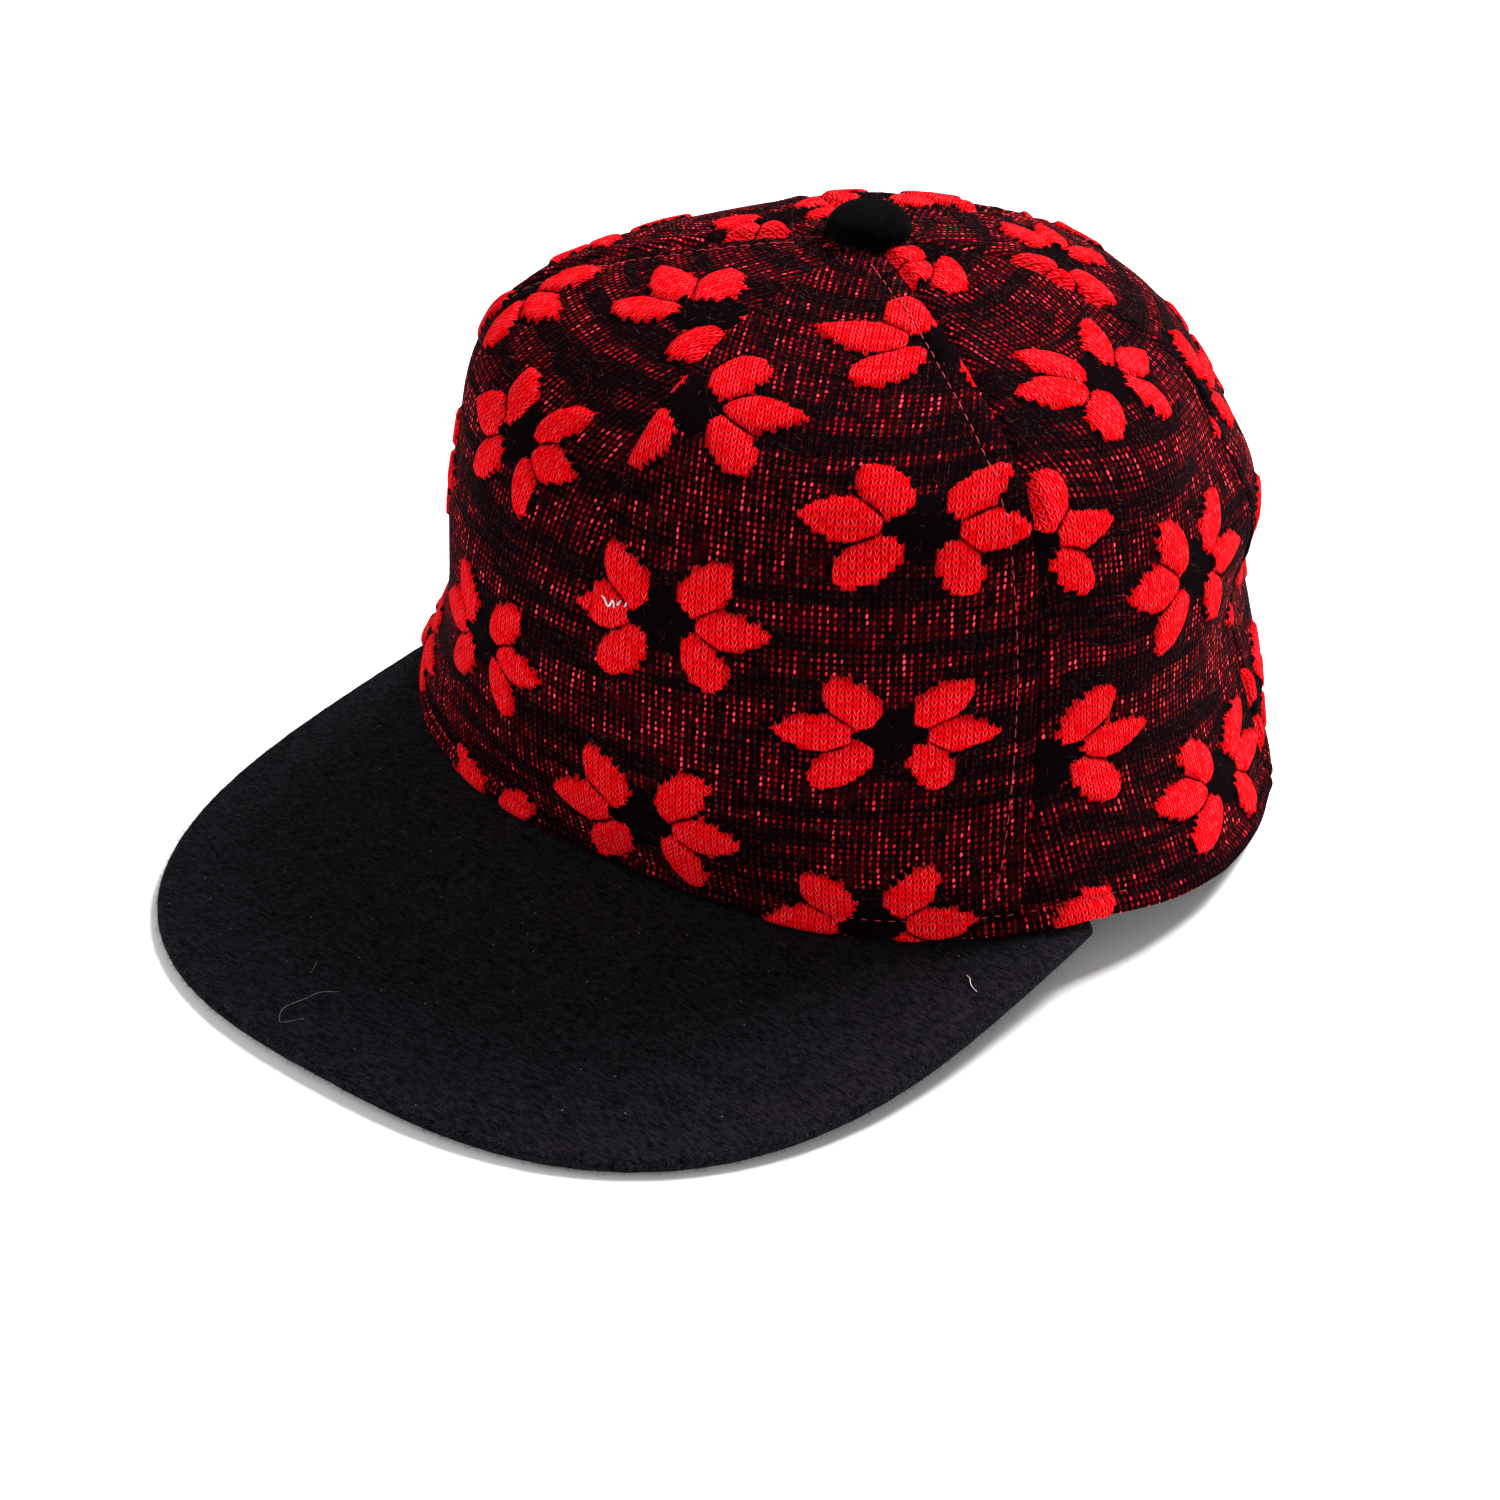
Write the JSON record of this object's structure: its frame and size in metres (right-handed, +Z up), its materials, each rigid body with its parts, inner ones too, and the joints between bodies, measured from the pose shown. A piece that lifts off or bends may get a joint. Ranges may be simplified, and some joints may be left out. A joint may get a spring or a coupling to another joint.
{
  "type": "snapback cap",
  "caption": "Snapback cap: a high knitted crown with raised six-petal flowers, a flat felt brim, a felt button, and a rear arch with a strap across it.",
  "frame": {"origin": "centre of the footprint, on the surface that the cap rests on", "axes": "+Z up, the brim points to -Y, the wearer's left is +X"},
  "size_m": [0.1894, 0.2544, 0.1274],
  "materials": {
    "knit": "heathered black and red knit with raised red petals",
    "felt": "black wool felt",
    "tape": "black cotton twill",
    "strap": "black plastic, satin"
  },
  "bodies": {
    "root": {"front_panel": "knit", "side_panel_left": "knit", "side_panel_right": "knit", "back_panel_left": "knit", "back_panel_right": "knit", "top_button": "felt", "brim": "felt", "sweatband": "tape", "snap_strap": "strap"}
  },
  "joints": []
}
